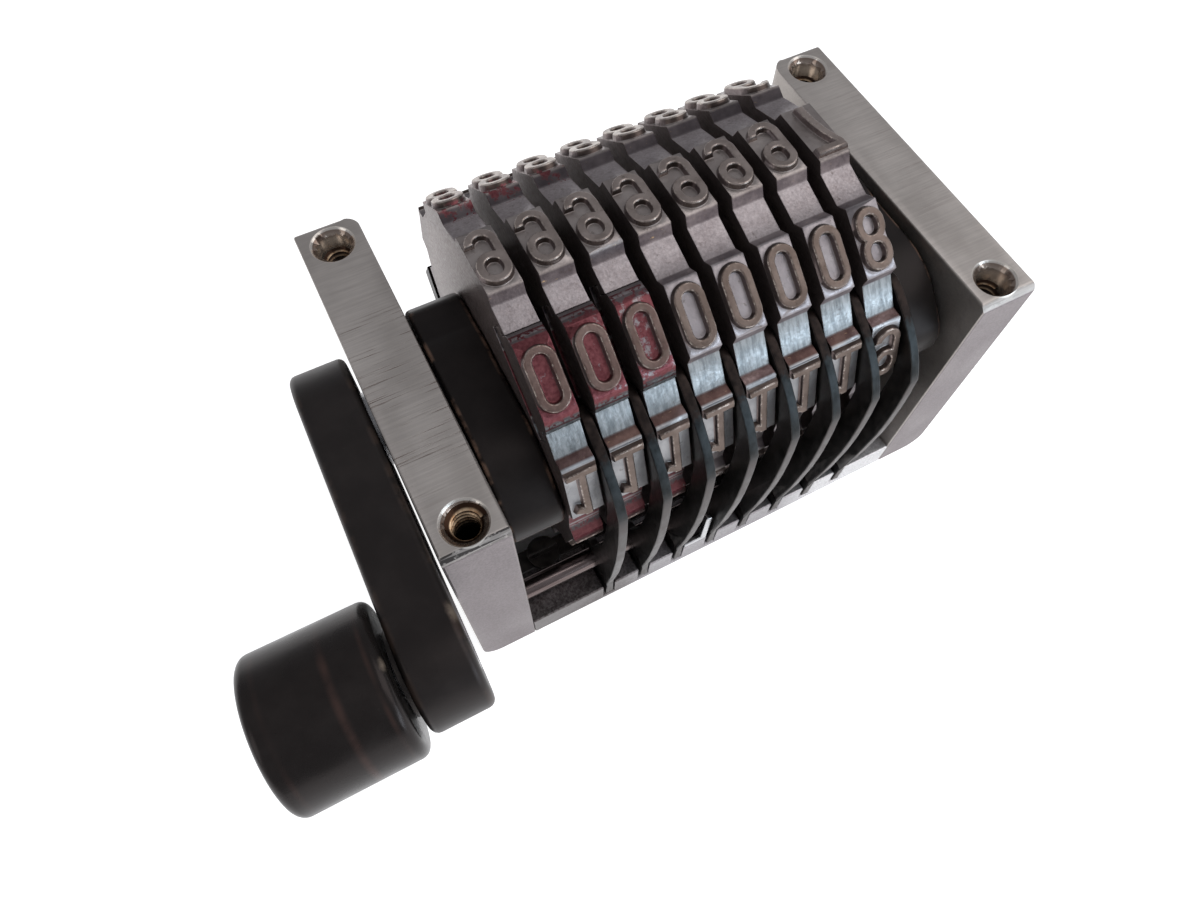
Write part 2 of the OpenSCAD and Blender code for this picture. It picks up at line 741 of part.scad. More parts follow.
// A coil round X that leaves its last turn straight for one wire diameter
function coil(r, pitch, turns, wire_r) = let (
    p = [for (k = [0 : ring_steps * turns]) let (a = full_turn * k / ring_steps)
            [pitch * k / ring_steps, r * sin(a), r * cos(a)]],
    n = len(p) - 1)
    concat(p, [p[n] + 2 * wire_r * unit(p[n] - p[n - 1])]);

// Least gap of a tube to itself, between points at least half a turn apart
function least_gap(p, wire_r) = min([for (i = [0 : len(p) - 1])
    for (j = [i + ring_steps / 2 : 1 : len(p) - 1]) norm(p[i] - p[j])]) - 2 * wire_r;

spring_leg = 1.6;
spring_inset = 0.55;
spring_end_x = plate_in - spring_inset;

// Return spring: its leg runs along X into the right plate
return_path = concat([[-spring_inset - spring_leg, 0, spring_coil_r],
                      [-2 * spring_wire_r, 0, spring_coil_r]],
                     coil(spring_coil_r, spring_pitch, spring_turns, spring_wire_r));

module return_spring() color(bright_steel)
    translate([spring_end_x, 0, shaft_z]) mirror([1, 0, 0])
        tube(return_path, spring_wire_r);

pawl_wire_r = 0.2;
pawl_coil_r = 1.6;
pawl_pitch = 0.85;
pawl_turns = 1.5;

pawl_path = coil(pawl_coil_r, pawl_pitch, pawl_turns, pawl_wire_r);

module feed_pawl_spring() color(bright_steel)
    translate([yoke_left_x + yoke_t + lug_t + pawl_wire_r + side_gap, feed_y, shaft_z + feed_z])
        tube(pawl_path, pawl_wire_r);

echo(return_spring_gap = least_gap(return_path, spring_wire_r));
echo(feed_pawl_spring_gap = least_gap(pawl_path, pawl_wire_r));

// Arm: two round ends joined by straight flanks
arm_length = norm([arm_reach, arm_rise]);
arm_angle = half_turn - atan2(arm_rise, arm_reach);
taper = acos((arm_hub_r - arm_tip_r) / arm_length);

flank_sink = 0.02; // how far the straight flanks lie inside the common tangents

module arm_outline() rotate(arm_angle) {
    circle(r = arm_hub_r, $fn = round_fn);
    translate([arm_length, 0]) circle(r = arm_tip_r, $fn = round_fn);
    polygon([polar(arm_hub_r - flank_sink, taper), polar(arm_hub_r - flank_sink, -taper),
             [arm_length, 0] + polar(arm_tip_r - flank_sink, -taper),
             [arm_length, 0] + polar(arm_tip_r - flank_sink, taper)]);
}

module swing_arm() color(black_steel) difference() {
    along_x(arm_out_x) linear_extrude(arm_t) arm_outline();
    bar_x(shaft_r, arm_out_x - overcut, arm_in_x + overcut);
    bar_x(roller_pin_r, arm_out_x - overcut, arm_in_x + overcut, -arm_reach, arm_rise);
    arm_pin_bar(overcut);
}

// Pin through the arm's hub and the shaft, along Y
arm_pin_r = 0.75;

module arm_pin_bar(extra = 0) translate([arm_in_x - arm_t / 2, 0, shaft_z]) rotate([-quarter, 0, 0])
    translate([0, 0, -shaft_r]) cylinder(r = arm_pin_r, h = shaft_r + arm_hub_r + extra, $fn = small_fn);

module arm_pin() color(bright_steel) intersection() {
    arm_pin_bar();
    bar_x(arm_hub_r, arm_out_x, arm_in_x);
}

module wheel_shaft() color(bright_steel) difference() {
    bar_x(shaft_r, arm_out_x, half_l);
    arm_pin_bar();
}

module roller_pin() color(bright_steel) difference() {
    bar_x(roller_pin_r, pin_end_x, arm_in_x, -arm_reach, arm_rise);
    difference() {
        bar_x(roller_pin_r + overcut, clip_x - clip_t - fit_gap, clip_x + fit_gap, -arm_reach, arm_rise);
        bar_x(roller_pin_r - groove_d, clip_x - overcut - clip_t, clip_x + overcut,
              -arm_reach, arm_rise);
    }
}

module roller() color(black_steel) difference() {
    union() {
        bar_x(roller_r, roller_out_x + roller_edge, roller_in_x - roller_edge, -arm_reach, arm_rise);
        cone_x(roller_r - roller_edge, roller_r, roller_out_x, roller_out_x + roller_edge,
               -arm_reach, arm_rise);
        cone_x(roller_r, roller_r - roller_edge, roller_in_x - roller_edge, roller_in_x,
               -arm_reach, arm_rise);
    }
    bar_x(roller_pin_r + fit_gap, roller_out_x - overcut, roller_in_x + overcut, -arm_reach, arm_rise);
    bar_x(roller_pocket_r, roller_out_x - overcut, pocket_floor_x, -arm_reach, arm_rise);
}

module roller_washers() color(steel)
    for (x0 = [arm_out_x - washer_gap - washer_t, pocket_floor_x - washer_gap - washer_t])
        difference() {
            bar_x(clip_r, x0, x0 + washer_t, -arm_reach, arm_rise);
            bar_x(roller_pin_r + fit_gap, x0 - overcut, x0 + washer_t + overcut,
                  -arm_reach, arm_rise);
        }

clip_mouth = 1.6;

module roller_clip() color(dark_steel) difference() {
    bar_x(clip_r, clip_x - clip_t, clip_x, -arm_reach, arm_rise);
    bar_x(roller_pin_r - groove_d + fit_gap, clip_x - clip_t - overcut, clip_x + overcut,
          -arm_reach, arm_rise);
    translate([clip_x - clip_t - overcut, -arm_reach - clip_mouth / 2, shaft_z + arm_rise - 2 * clip_r])
        cube([clip_t + 2 * overcut, clip_mouth, 2 * clip_r]);
}

left_plate();
right_plate();
bush(-half_l);  // left_bush
bush(plate_in);  // right_bush
base_bar();
bar_screws();
bent_tab();
rear_tie_rod();
tie_screws();
rocker_stop_pin();
wheel_shaft();
for (i = [1 : wheels]) {
    number_wheel(i);
    ratchet(i);
    detent_lever(i);
}
for (i = [1 : drop_zeros]) {
    drop_zero(i);
}
detent_rod();
detent_spring_comb();
spring_comb_screws();
left_block();
right_block();
yoke_plate(yoke_left_x, lug = true);  // left_yoke_plate
yoke_plate(yoke_right_x);  // right_yoke_plate
thrust_washer();
feed_pin();
feed_pawl();
feed_pawl_spring();
swing_arm();
arm_pin();
roller_pin();
roller_washers();
roller();
roller_clip();
return_spring();
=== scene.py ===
import json
import math

import bmesh
import bpy
from mathutils import Euler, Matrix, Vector


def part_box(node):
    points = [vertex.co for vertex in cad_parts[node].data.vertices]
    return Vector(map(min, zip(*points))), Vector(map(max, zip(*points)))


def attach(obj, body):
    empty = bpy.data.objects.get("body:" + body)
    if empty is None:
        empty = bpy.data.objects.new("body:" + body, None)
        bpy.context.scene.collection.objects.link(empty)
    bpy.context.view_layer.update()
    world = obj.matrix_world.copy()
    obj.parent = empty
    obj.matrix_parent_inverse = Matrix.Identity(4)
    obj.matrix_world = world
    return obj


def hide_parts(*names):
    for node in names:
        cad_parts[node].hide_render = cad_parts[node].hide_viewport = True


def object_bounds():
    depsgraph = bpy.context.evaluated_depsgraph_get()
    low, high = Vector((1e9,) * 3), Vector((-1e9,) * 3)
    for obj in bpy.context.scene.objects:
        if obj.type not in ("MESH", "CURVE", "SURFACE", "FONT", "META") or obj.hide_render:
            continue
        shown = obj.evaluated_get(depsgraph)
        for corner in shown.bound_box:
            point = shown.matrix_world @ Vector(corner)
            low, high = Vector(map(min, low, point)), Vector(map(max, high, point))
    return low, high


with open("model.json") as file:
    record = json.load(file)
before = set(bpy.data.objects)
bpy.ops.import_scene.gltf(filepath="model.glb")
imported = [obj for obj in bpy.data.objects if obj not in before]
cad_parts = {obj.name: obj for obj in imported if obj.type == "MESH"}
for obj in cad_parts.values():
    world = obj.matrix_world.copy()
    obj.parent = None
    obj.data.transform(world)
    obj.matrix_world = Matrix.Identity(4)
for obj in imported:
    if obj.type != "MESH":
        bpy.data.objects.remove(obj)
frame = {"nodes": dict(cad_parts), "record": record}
cad_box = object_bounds()
nodes = frame["nodes"]

MM = 0.001
WHEELS = 8
DROP_ZEROS = 3
STATIONS = 10
STATION = math.tau / STATIONS


def middle(node):
    low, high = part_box(node)
    return (low + high) / 2


def numbered(name, count=WHEELS):
    return [f"{name}_{i}" for i in range(1, count + 1)]


def add_object(name, data):
    item = bpy.data.objects.new(name, data)
    bpy.context.collection.objects.link(item)
    return item


shaft = middle("wheel_shaft")
pin = middle("roller_pin")
rod = middle("detent_rod")
roller_low, roller_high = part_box("roller")
arm_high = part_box("swing_arm")[1]
floor_z = cad_box[0][2]

# Camera, solved from the plates' corners and the wheels' stations

CAMERA_PLACE = Vector((-23.465, -33.935, 50.275)) * MM
CAMERA_TURN = (26.27, -0.658, -27.26)
LENS = 24.88
SENSOR = 36.0

camera = add_object("camera", bpy.data.cameras.new("camera"))
camera.location = CAMERA_PLACE
camera.rotation_euler = Euler([math.radians(a) for a in CAMERA_TURN])
camera.data.lens = LENS
camera.data.sensor_width = SENSOR
camera.data.clip_start = 1 * MM
bpy.context.scene.camera = camera

# The four tapped holes in the plates' top edges

HOLE_X = 21.8 * MM
HOLE_Y = 12.8 * MM
HOLE_R = 1.25 * MM
SINK_R = 1.75 * MM
THREAD_H = 0.28 * MM
# Depth over which the holes are painted into shade
HOLE_SHADE_DEPTHS = (1.2 * MM, 3.2 * MM)

# The wheels' profile. R is a distance from the shaft's axis, T and B are half widths along
# the rim, and HALF_ is half an angle round the shaft.

PLATFORM_R = 14.1 * MM
PLATFORM_B = 2.55 * MM
FLOOR_T = 2.97 * MM
RELIEF = 0.45 * MM
DROP_B = 3.46 * MM
HALF_FLAT = 0.235
HALF_FLOOR = 0.12
ZERO_ROW = math.radians(126)

# Colours. A pair runs from the darker tone to the lighter one.

PLATE = ((0.40, 0.365, 0.34), (0.51, 0.472, 0.445))
PLATE_SMEAR = (0.28, 0.245, 0.225)
PLATE_GRAIN = (0.27, 0.25, 0.238)
PLATE_SCRATCH = (0.15, 0.115, 0.1)
PLATE_FRONT = ((0.205, 0.178, 0.182), (0.262, 0.23, 0.236))
PLATE_EDGE = (0.035, 0.03, 0.03)
# Countersinks: a painted highlight on the worn rim, the wall painted lighter lower down, painted
# shade in the bore
SINK_RIM_WEAR_AND_HIGHLIGHT = (0.6, 0.56, 0.52)
SINK_WALL_LIT = ((0.2, 0.15, 0.125), (0.55, 0.49, 0.43))
SINK_FILM = (0.15, 0.10, 0.075)
BORE_SHADE = (0.02, 0.014, 0.012)
# Base bar: painted shadow at the arm's end, painted highlight towards the units wheel
BAR_SHADOW = ((0.07, 0.058, 0.056), (0.2, 0.18, 0.18))
BAR_MIDDLE = ((0.24, 0.225, 0.235), (0.42, 0.4, 0.415))
BAR_HIGHLIGHT = ((0.5, 0.49, 0.5), (0.75, 0.74, 0.75))
BRIGHT = ((0.45, 0.45, 0.46), (0.62, 0.62, 0.64))
ROD = ((0.12, 0.09, 0.085), (0.19, 0.152, 0.148))
OILED = ((0.035, 0.03, 0.029), (0.10, 0.088, 0.082))
OILED_EDGE = (0.22, 0.2, 0.19)
BLUED = ((0.0075, 0.0064, 0.006), (0.0125, 0.0105, 0.0098))
BLUED_FLECK = (0.028, 0.023, 0.021)
BLUED_WORN = (0.16, 0.10, 0.072)
# Brown worn rings on the roller, lighter than the oxide as a painted highlight
BLUED_RING_WEAR_AND_SHEEN = (0.06, 0.032, 0.026)
BLUED_SPOT = (0.17, 0.135, 0.105)
BLUED_TINT = (1.0, 0.86, 0.84, 1.0)
# Levers: painted shading over the kink, lighter brown below and darker bluish above
LEVER_LOW_LIT = ((0.042, 0.034, 0.033), (0.075, 0.063, 0.061))
LEVER_HIGH_SHADED = ((0.011, 0.0128, 0.0135), (0.032, 0.0365, 0.039))
LEVER_HEAD = ((0.008, 0.0055, 0.005), (0.028, 0.019, 0.016))
# Painted shade on the levers' sides
LEVER_SIDE_SHADE = ((0.018, 0.017, 0.017), (0.045, 0.04, 0.038))
BRONZE = ((0.2, 0.12, 0.06), (0.36, 0.24, 0.13))
# Threads: painted glints on the brown crests, painted shade in the roots and in the depth
CREST_FILM_AND_GLINT = ((0.30, 0.17, 0.09), (0.62, 0.46, 0.31))
ROOT_SHADE = (0.03, 0.015, 0.009)
THREAD_SHADE = (0.012, 0.009, 0.008)
FLOOR = ((0.2, 0.172, 0.175), (0.33, 0.298, 0.304))
# Painted reflection of the window on the floors between the 0 and 1 rows
FLOOR_WINDOW_REFLECTION = ((0.15, 0.162, 0.17), (0.28, 0.292, 0.3))
FLAT = ((0.235, 0.203, 0.193), (0.34, 0.303, 0.29))
ZERO_FLAT = ((0.22, 0.197, 0.205), (0.31, 0.284, 0.293))
# Painted reflection on the 1 flats
ONE_FLAT_REFLECTION = ((0.25, 0.248, 0.257), (0.36, 0.355, 0.362))
TOP = ((0.115, 0.084, 0.07), (0.185, 0.142, 0.122))
# Tops of the 9 row painted lighter, and painted glints on the tops of the 8 row
NINE_TOP_LIT = ((0.2, 0.165, 0.15), (0.32, 0.27, 0.25))
EIGHT_TOP_GLINT = ((0.3, 0.26, 0.24), (0.6, 0.54, 0.49))
FLANK = ((0.07, 0.057, 0.062), (0.14, 0.118, 0.122))
ONE_FLANK = ((0.045, 0.022, 0.02), (0.1, 0.06, 0.052))
# Painted shade on the figures' walls
WALL_SHADE = ((0.045, 0.032, 0.028), (0.09, 0.068, 0.06))
FACE = ((0.19, 0.15, 0.143), (0.25, 0.203, 0.195))
GRIME = (0.06, 0.04, 0.03)
# Painted golden glints on the flanks
GOLD_GLINT = (0.5, 0.34, 0.18)
INK = ((0.115, 0.03, 0.036), (0.185, 0.06, 0.066))
WORN_TYPE = (0.44, 0.38, 0.34)

# The value of the blots' noise over which ink lies, for a share of 0, and how far it sinks
# for a share of 1
BLOT_START = 0.7
BLOT_SPAN = 0.42

# Spans of a noise's or a normal's value over which a look changes

SOFT = (0.3, 0.7)
CRISP = (0.35, 0.65)
FACING = (0.7, 0.9)


# Materials

class Look:
    """One node material. Coordinates are the part's own, in metres."""

    def __init__(self, name, shader="ShaderNodeBsdfPrincipled"):
        self.material = bpy.data.materials.new(name)
        self.material.use_nodes = True
        self.tree = self.material.node_tree
        self.tree.nodes.clear()
        self.surface = self.add(shader)
        output = self.add("ShaderNodeOutputMaterial")
        self.put(output.inputs["Surface"], self.surface.outputs[0])
        self.place = self.add("ShaderNodeTexCoord").outputs["Object"]

    def add(self, kind, **settings):
        node = self.tree.nodes.new(kind)
        for key, value in settings.items():
            setattr(node, key, value)
        return node

    def put(self, socket, value):
        if isinstance(value, bpy.types.NodeSocket):
            self.tree.links.new(value, socket)
        else:
            socket.default_value = value

    def math(self, operation, *values):
        node = self.add("ShaderNodeMath", operation=operation)
        for socket, value in zip(node.inputs, values):
            self.put(socket, value)
        return node.outputs[0]

    def times(self, *values):
        product = values[0]
        for value in values[1:]:
            product = self.math("MULTIPLY", product, value)
        return product

    def distance(self, value, place):
        return self.math("ABSOLUTE", self.math("SUBTRACT", value, place))

    def vector(self, operation, a, b=None):
        node = self.add("ShaderNodeVectorMath", operation=operation)
        self.put(node.inputs[0], a)
        if b is not None:
            self.put(node.inputs[1], b)
        return node.outputs["Value"] if operation in ("DOT_PRODUCT", "LENGTH") else node.outputs[0]

    def split(self, vector):
        node = self.add("ShaderNodeSeparateXYZ")
        self.put(node.inputs[0], vector)
        return node.outputs

    def normal(self):
        return self.add("ShaderNodeNewGeometry").outputs["True Normal"]

    def fade(self, value, low, high, first=0.0, last=1.0):
        """Runs smoothly from first to last while the value goes from low to high."""
        node = self.add("ShaderNodeMapRange", interpolation_type="SMOOTHSTEP")
        ends = (("From Min", low), ("From Max", high), ("To Min", first), ("To Max", last))
        for name, number in ends:
            node.inputs[name].default_value = number
        self.put(node.inputs["Value"], value)
        return node.outputs[0]

    def noise(self, size, stretch=(1, 1, 1), detail=4.0, rough=0.55, seed=0.0):
        """Noise with features of the given size, drawn out along each axis by stretch."""
        node = self.add("ShaderNodeTexNoise", noise_dimensions="4D")
        node.inputs["W"].default_value = seed
        node.inputs["Scale"].default_value = 1 / size
        node.inputs["Detail"].default_value = detail
        node.inputs["Roughness"].default_value = rough
        self.put(node.inputs["Vector"], self.vector("DIVIDE", self.place, Vector(stretch)))
        return node.outputs["Fac"]

    def mix(self, share, a, b):
        node = self.add("ShaderNodeMix", data_type="RGBA")
        self.put(node.inputs["Factor"], share)
        for socket, value in ((node.inputs[6], a), (node.inputs[7], b)):
            self.put(socket, (*value, 1) if isinstance(value, tuple) else value)
        return node.outputs[2]

    def bevel(self, radius, samples=6):
        node = self.add("ShaderNodeBevel", samples=samples)
        node.inputs["Radius"].default_value = radius
        return node.outputs[0]

    def edge(self, radius, low=0.02, high=0.12):
        """1 along the edges of the piece and 0 elsewhere."""
        bend = self.vector("DOT_PRODUCT", self.bevel(radius),
                           self.add("ShaderNodeNewGeometry").outputs["Normal"])
        return self.fade(self.math("SUBTRACT", 1.0, bend), low, high)

    def worn(self, size, detail, low=0.46, high=0.6):
        """The rounded edges of a piece made by rounded(), broken up by noise."""
        mark = self.add("ShaderNodeAttribute", attribute_name="worn").outputs["Fac"]
        return self.times(mark, self.fade(self.noise(size, detail=detail), low, high))

    def relief(self, height, depth, round_radius=0.0):
        node = self.add("ShaderNodeBump")
        node.inputs["Distance"].default_value = depth
        self.put(node.inputs["Height"], height)
        if round_radius:
            self.put(node.inputs["Normal"], self.bevel(round_radius))
        self.put(self.surface.inputs["Normal"], node.outputs[0])

    def finish(self, colour, metallic, roughness, **more):
        values = {"base_color": colour, "metallic": metallic, "roughness": roughness, **more}
        for name, value in values.items():
            self.put(self.surface.inputs[name.replace("_", " ").title()], value)
        return self.material


def hole_distance(look):
    """Distance from the nearest tapped hole's axis."""
    x, y, _ = look.split(look.place)
    x = look.math("SUBTRACT", look.math("ABSOLUTE", x), HOLE_X)
    y = look.math("SUBTRACT", look.math("ABSOLUTE", y), HOLE_Y)
    return look.math("SQRT", look.math("ADD", look.times(x, x), look.times(y, y)))


def below_top(look):
    """Depth under the plates' top edges."""
    return look.times(look.split(look.place)[2], -1.0)


def sink(look, colour, radius):
    """Lays a worn rim with a painted highlight and a brown wall over the plate's colour; the wall
    is painted lighter lower down and into painted shade in the depth.
    """
    depth = below_top(look)
    wall = look.mix(look.fade(depth, 0.1 * MM, 0.9 * MM), *SINK_WALL_LIT)
    film = look.noise(1.6 * MM, detail=3, rough=0.4, seed=26)
    wall = look.mix(look.fade(film, 0.4, 0.7, last=0.45), wall, SINK_FILM)
    wall = look.mix(look.fade(depth, *HOLE_SHADE_DEPTHS), wall, BORE_SHADE)
    rim = look.fade(radius, SINK_R + 0.05 * MM, SINK_R - 0.02 * MM)
    colour = look.mix(rim, colour, SINK_RIM_WEAR_AND_HIGHLIGHT)
    return look.mix(look.fade(radius, SINK_R - 0.12 * MM, SINK_R - 0.19 * MM), colour, wall)


def ground_steel(name, scratches, centre):
    """Ground plate: fine lines across the thickness, with dark scratches round the middle."""
    look = Look(name)
    grain = look.noise(0.12 * MM, stretch=(30, 1, 1), detail=3, seed=1)
    cloud = look.noise(5 * MM, stretch=(1, 1.6, 1.6), detail=3, seed=2)
    smear = look.noise(1.1 * MM, stretch=(6, 0.6, 0.6), detail=5, rough=0.6, seed=21)
    speck = look.noise(0.14 * MM, rough=0.6, seed=24)
    lines = look.noise(0.17 * MM, stretch=(40, 1, 6), rough=0.6, seed=3)
    spread = look.noise(2.2 * MM, stretch=(1.5, 1, 1), detail=3, seed=4)
    notches = look.noise(0.4 * MM, stretch=(2, 1, 1), detail=5, rough=0.7, seed=25)
    off = look.distance(look.split(look.place)[1], centre)
    patch = look.times(look.fade(off, 10 * MM, 5 * MM), look.fade(spread, 0.3, 0.5))
    marks = look.times(look.fade(lines, 0.54, 0.68), patch, scratches)
    colour = look.mix(look.fade(cloud, *SOFT), *PLATE)
    colour = look.mix(look.fade(smear, 0.5, 0.8, last=0.5), colour, PLATE_SMEAR)
    colour = look.mix(look.fade(grain, *SOFT, last=0.3), colour, PLATE_GRAIN)
    colour = look.mix(marks, colour, PLATE_SCRATCH)

    # Front faces are darker and speckled, with a black jagged line along their upper edge
    front = look.vector("DOT_PRODUCT", look.normal(), Vector((0, -1, 0)))
    upward = look.split(look.vector("ABSOLUTE", look.normal()))[2]
    speckled = look.mix(look.fade(speck, *CRISP), *PLATE_FRONT)
    colour = look.mix(look.fade(front, 0.8, 0.95), colour, speckled)
    bevel = look.times(look.fade(upward, 0.6, 0.7), look.fade(front, 0.3, 0.36))
    jagged = look.fade(notches, 0.4, 0.5, last=scratches)
    colour = look.mix(look.times(bevel, jagged), colour, PLATE_EDGE)

    radius = hole_distance(look)
    colour = sink(look, colour, radius)
    rough = look.math("SUBTRACT", look.fade(cloud, *SOFT, first=0.42, last=0.54),
                      look.fade(radius, SINK_R, SINK_R - 0.1 * MM, last=0.26))
    look.relief(look.math("ADD", grain, look.times(marks, -2.0)), depth=0.006 * MM)
    return look.finish(colour, metallic=0.85, roughness=rough)


def bar_steel():
    """The base bar: in painted shadow at the arm's end, with a painted highlight towards the units
    wheel.
    """
    look = Look("bar_steel")
    speck = look.noise(0.2 * MM, detail=5, rough=0.7, seed=31)
    shadowed, medium, highlit = [look.mix(look.fade(speck, *CRISP), *pair)
                            for pair in (BAR_SHADOW, BAR_MIDDLE, BAR_HIGHLIGHT)]
    along = look.split(look.place)[0]
    # Painted shadow at the arm's end, painted highlight towards the units wheel
    colour = look.mix(look.fade(along, -12 * MM, -6 * MM), shadowed, medium)
    colour = look.mix(look.fade(along, 5 * MM, 12 * MM), colour, highlit)
    look.relief(speck, depth=0.01 * MM)
    return look.finish(colour, metallic=0.85, roughness=look.fade(speck, *SOFT, 0.3, 0.45))


def bright_steel():
    """Polished rods and pins."""
    look = Look("bright_steel")
    grain = look.noise(0.1 * MM, stretch=(20, 1, 1), detail=3, seed=5)
    colour = look.mix(look.fade(grain, *SOFT), *BRIGHT)
    look.relief(grain, depth=0.002 * MM, round_radius=0.08 * MM)
    return look.finish(colour, metallic=1.0, roughness=look.fade(grain, 0.2, 0.8, 0.2, 0.34))


def rod_steel():
    """The rod of the levers: ground, browned by oil."""
    look = Look("rod_steel")
    grain = look.noise(0.3 * MM, stretch=(14, 1, 1), detail=3, seed=23)
    colour = look.mix(look.fade(grain, *SOFT), *ROD)
    look.relief(grain, depth=0.001 * MM)
    return look.finish(colour, metallic=0.95, roughness=look.fade(grain, 0.2, 0.8, 0.16, 0.22))


def dark_steel():
    """Oiled dark steel of the ratchets, combs and small screws."""
    look = Look("dark_steel")
    cloud = look.noise(1.2 * MM, detail=5, seed=6)
    colour = look.mix(look.fade(cloud, *SOFT), *OILED)
    colour = look.mix(look.times(look.edge(0.12 * MM), 0.6), colour, OILED_EDGE)
    look.relief(cloud, depth=0.01 * MM, round_radius=0.08 * MM)
    return look.finish(colour, metallic=0.8, roughness=look.fade(cloud, *SOFT, 0.38, 0.55))


def blued_steel(name, gloss, wear, shine, rings=(), spots=()):
    """Black oxide on steel, coppery along the worn edges, with brown worn rings that carry a
    painted highlight, and bare spots.

    A ring is a place along X, a half width and a strength; a spot is a place and a size.
    """
    look = Look(name)
    cloud = look.noise(2.5 * MM, detail=5, seed=7)
    fine = look.noise(0.22 * MM, stretch=(2, 1, 1), seed=8)
    colour = look.mix(look.fade(cloud, 0.35, 0.7), *BLUED)
    colour = look.mix(look.fade(fine, 0.66, 0.8, last=0.4), colour, BLUED_FLECK)
    colour = look.mix(look.times(look.worn(2.0 * MM, detail=6), wear), colour, BLUED_WORN)
    along = look.split(look.place)[0]
    # Worn rings, partly painted highlight
    for place, width, strength in rings:
        ring = look.fade(look.distance(along, place), 0.0, width, strength, 0.0)
        uneven = look.noise(2.5 * MM, detail=3, rough=0.5, seed=11)
        broken = look.fade(uneven, *CRISP, first=0.15)
        colour = look.mix(look.times(ring, broken), colour, BLUED_RING_WEAR_AND_SHEEN)
    for place, size in spots:
        narrow = Vector((2.2, 1, 1))
        way = look.vector("MULTIPLY", look.vector("SUBTRACT", look.place, place), narrow)
        ragged = look.noise(0.3 * MM, detail=5, rough=0.7, seed=17)
        off = look.math("MULTIPLY_ADD", ragged, size, look.vector("LENGTH", way))
        spot = look.fade(off, 1.6 * size, 0.5 * size, last=0.8)
        colour = look.mix(spot, colour, BLUED_SPOT)
    look.relief(look.math("ADD", cloud, look.times(fine, 0.5)), depth=0.008 * MM)
    look.surface.inputs["Specular IOR Level"].default_value = shine
    return look.finish(colour, metallic=0.0, specular_tint=BLUED_TINT,
                       roughness=look.fade(cloud, *SOFT, gloss, gloss + 0.1))


def lever_steel():
    """Spring steel: narrow edges that turn from lighter brown to darker bluish over the kink as
    painted shading, sides in painted shade, and near-black heads.
    """
    look = Look("lever_steel")
    height = look.split(look.place)[2]
    cloud = look.noise(0.6 * MM, stretch=(1, 1, 2), detail=5, seed=12)
    fine = look.noise(0.15 * MM, stretch=(1, 1, 3), detail=3, seed=13)
    ragged = look.noise(0.35 * MM, detail=5, rough=0.7, seed=22)
    tone = look.fade(cloud, *SOFT)
    low, high, head, side = [look.mix(tone, *pair)
                             for pair in (LEVER_LOW_LIT, LEVER_HIGH_SHADED, LEVER_HEAD, LEVER_SIDE_SHADE)]
    # Painted shading: lighter brown below the kink, darker and bluish above it
    kink = shaft[2] + 2.0 * MM
    colour = look.mix(look.fade(height, kink - 0.8 * MM, kink + 1.2 * MM), low, high)
    fringe = look.math("MULTIPLY_ADD", ragged, 2.4 * MM, height)
    head_z = shaft[2] + 7.4 * MM
    colour = look.mix(look.fade(fringe, head_z, head_z + 0.6 * MM), colour, head)
    # Sides in painted shade
    sides = look.split(look.vector("ABSOLUTE", look.normal()))[0]
    colour = look.mix(look.fade(sides, *FACING), colour, side)
    look.relief(look.math("ADD", cloud, fine), depth=0.008 * MM)
    return look.finish(colour, metallic=0.85, roughness=look.fade(cloud, *SOFT, 0.34, 0.48))


def bronze():
    """Dull bronze of the bushes and the thrust washer."""
    look = Look("bronze")
    cloud = look.noise(1.5 * MM, detail=5, seed=14)
    colour = look.mix(look.fade(cloud, *SOFT), *BRONZE)
    look.relief(cloud, depth=0.008 * MM, round_radius=0.1 * MM)
    return look.finish(colour, metallic=0.9, roughness=look.fade(cloud, *SOFT, 0.35, 0.5))


def thread_steel():
    """Cut thread with a brown film: painted shade in the roots, painted glints on the crests,
    painted shade in the depth.
    """
    look = Look("thread_steel")
    cloud = look.noise(0.5 * MM, seed=15)
    depth = below_top(look)
    root = look.math("MAXIMUM", look.math("SUBTRACT", SINK_R, depth), HOLE_R)
    inward = look.math("SUBTRACT", root, hole_distance(look))
    crest = look.mix(look.fade(cloud, *CRISP), *CREST_FILM_AND_GLINT)
    colour = look.mix(look.fade(inward, 0.5 * THREAD_H, 0.95 * THREAD_H), ROOT_SHADE, crest)
    colour = look.mix(look.fade(depth, *HOLE_SHADE_DEPTHS), colour, THREAD_SHADE)
    look.relief(cloud, depth=0.01 * MM)
    return look.finish(colour, metallic=0.95, roughness=look.fade(cloud, *SOFT, 0.2, 0.4))


def station_frame(look):
    """Height over the shaft's axis and place along the rim, in the nearest station's frame."""
    _, y, z = look.split(look.place)
    y = look.math("SUBTRACT", y, shaft[1])
    z = look.math("SUBTRACT", z, shaft[2])
    angle = look.math("ARCTAN2", z, y)
    radius = look.math("SQRT", look.math("ADD", look.times(y, y), look.times(z, z)))
    steps = look.math("DIVIDE", look.math("SUBTRACT", angle, math.pi / 2), STATION)
    off = look.times(look.math("SUBTRACT", steps, look.math("ROUND", steps)), STATION)
    height = look.times(radius, look.math("COSINE", off))
    along = look.times(radius, look.math("SINE", off))
    return height, along, angle


def near_row(look, angle, row, half):
    """1 within half of the given angle round the shaft and 0 elsewhere."""
    off = look.math("COSINE", look.math("SUBTRACT", angle, row))
    return look.math("GREATER_THAN", off, math.cos(half))


